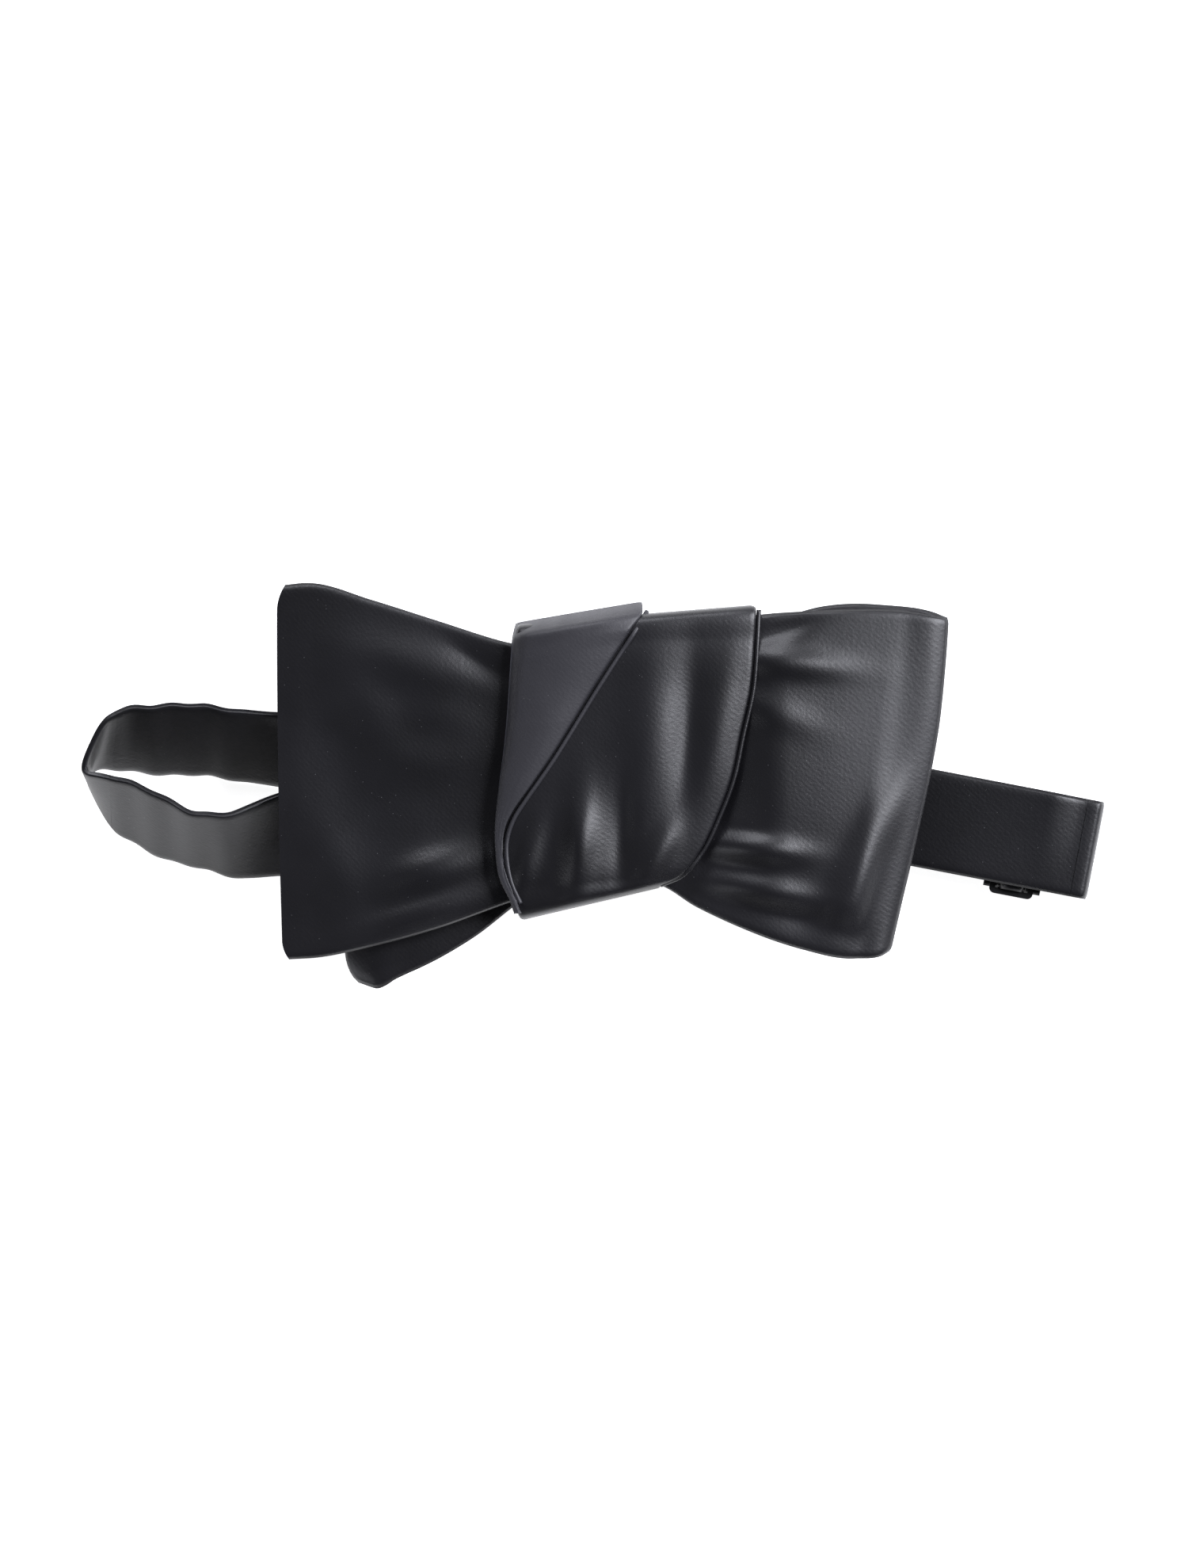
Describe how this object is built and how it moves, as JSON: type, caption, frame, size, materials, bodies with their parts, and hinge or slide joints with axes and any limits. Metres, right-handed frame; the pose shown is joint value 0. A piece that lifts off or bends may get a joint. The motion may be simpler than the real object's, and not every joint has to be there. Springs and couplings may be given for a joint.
{
  "type": "bow tie",
  "caption": "Black satin bow tie with a front and a back bow, a wrapped knot and an adjustable neckband folded behind it.",
  "frame": {"origin": "bottom centre of the bounding box: the floor the tie lies on, midway along its length and its height", "axes": "+X to the right of the bow as its face is seen, along the neckband; +Y towards the bow's top edge; +Z out of the bow's face, away from the floor"},
  "size_m": [0.1856, 0.0724, 0.0227],
  "materials": {
    "silk_satin": "satin, fine diagonal twill",
    "interlining": "matt woven interlining",
    "thread": "matt sewing thread",
    "black_metal": "semi-gloss black enamel"
  },
  "bodies": {
    "bow": {"front_bow_silk": "silk_satin", "front_bow_interlining": "interlining", "back_bow_silk": "silk_satin", "back_bow_interlining": "interlining", "knot_wrap_silk": "silk_satin", "knot_wrap_interlining": "interlining", "knot_lapel_silk": "silk_satin", "knot_tack_stitches": "thread", "front_left_strap_silk": "silk_satin", "front_left_strap_interlining": "interlining", "front_right_strap_silk": "silk_satin", "front_right_strap_interlining": "interlining", "neckband_left_turn": "silk_satin", "neckband_right_turn": "silk_satin"},
    "long_strap": {"long_strap_silk": "silk_satin", "long_strap_interlining": "interlining", "eye_strap_end": "silk_satin", "eye_bar_tack": "thread"},
    "eye": {"closure_eye": "black_metal"},
    "short_strap": {"short_strap_run": "silk_satin"},
    "adjuster": {"slide_adjuster": "black_metal", "adjuster_crossing": "silk_satin", "adjuster_strap_end": "silk_satin", "strap_outer_run": "silk_satin", "strap_return_run": "silk_satin"},
    "hook_loop": {"hook_strap_turn": "silk_satin"},
    "hook": {"closure_hook": "black_metal"}
  },
  "joints": [
    {"name": "long_strap_swing", "type": "hinge", "parent": "bow", "child": "long_strap", "pos_m": [-0.09094, 0.00448, 0.0074], "axis": [0, 1, 0], "range_deg": [0, 180], "deforming": ["neckband_left_turn"]},
    {"name": "eye_pivot", "type": "hinge", "parent": "long_strap", "child": "eye", "pos_m": [0.00869, 0.00036, 0.0017], "axis": [0.0872, 0.9962, 0], "range_deg": [-8, 8]},
    {"name": "short_strap_swing", "type": "hinge", "parent": "bow", "child": "short_strap", "pos_m": [0.08949, -0.01142, 0.0032], "axis": [-0.1891, -0.982, 0], "range_deg": [0, 180], "deforming": ["neckband_right_turn"]},
    {"name": "adjuster_slide", "type": "slide", "parent": "short_strap", "child": "adjuster", "axis": [-0.982, 0.1891, 0], "range_m": [0, 0.018], "deforming": ["short_strap_run"]},
    {"name": "hook_travel", "type": "slide", "parent": "adjuster", "child": "hook_loop", "axis": [0.982, -0.1891, 0], "range_m": [0, 0.009], "deforming": ["strap_outer_run", "strap_return_run"]},
    {"name": "hook_pivot", "type": "hinge", "parent": "hook_loop", "child": "hook", "pos_m": [0.04098, -0.00208, 0.0017], "axis": [0.1891, 0.982, 0], "range_deg": [-6, 3]}
  ],
  "couplings": [
    {"joint": "hook_travel", "follows": "adjuster_slide", "ratio": 0.5}
  ]
}
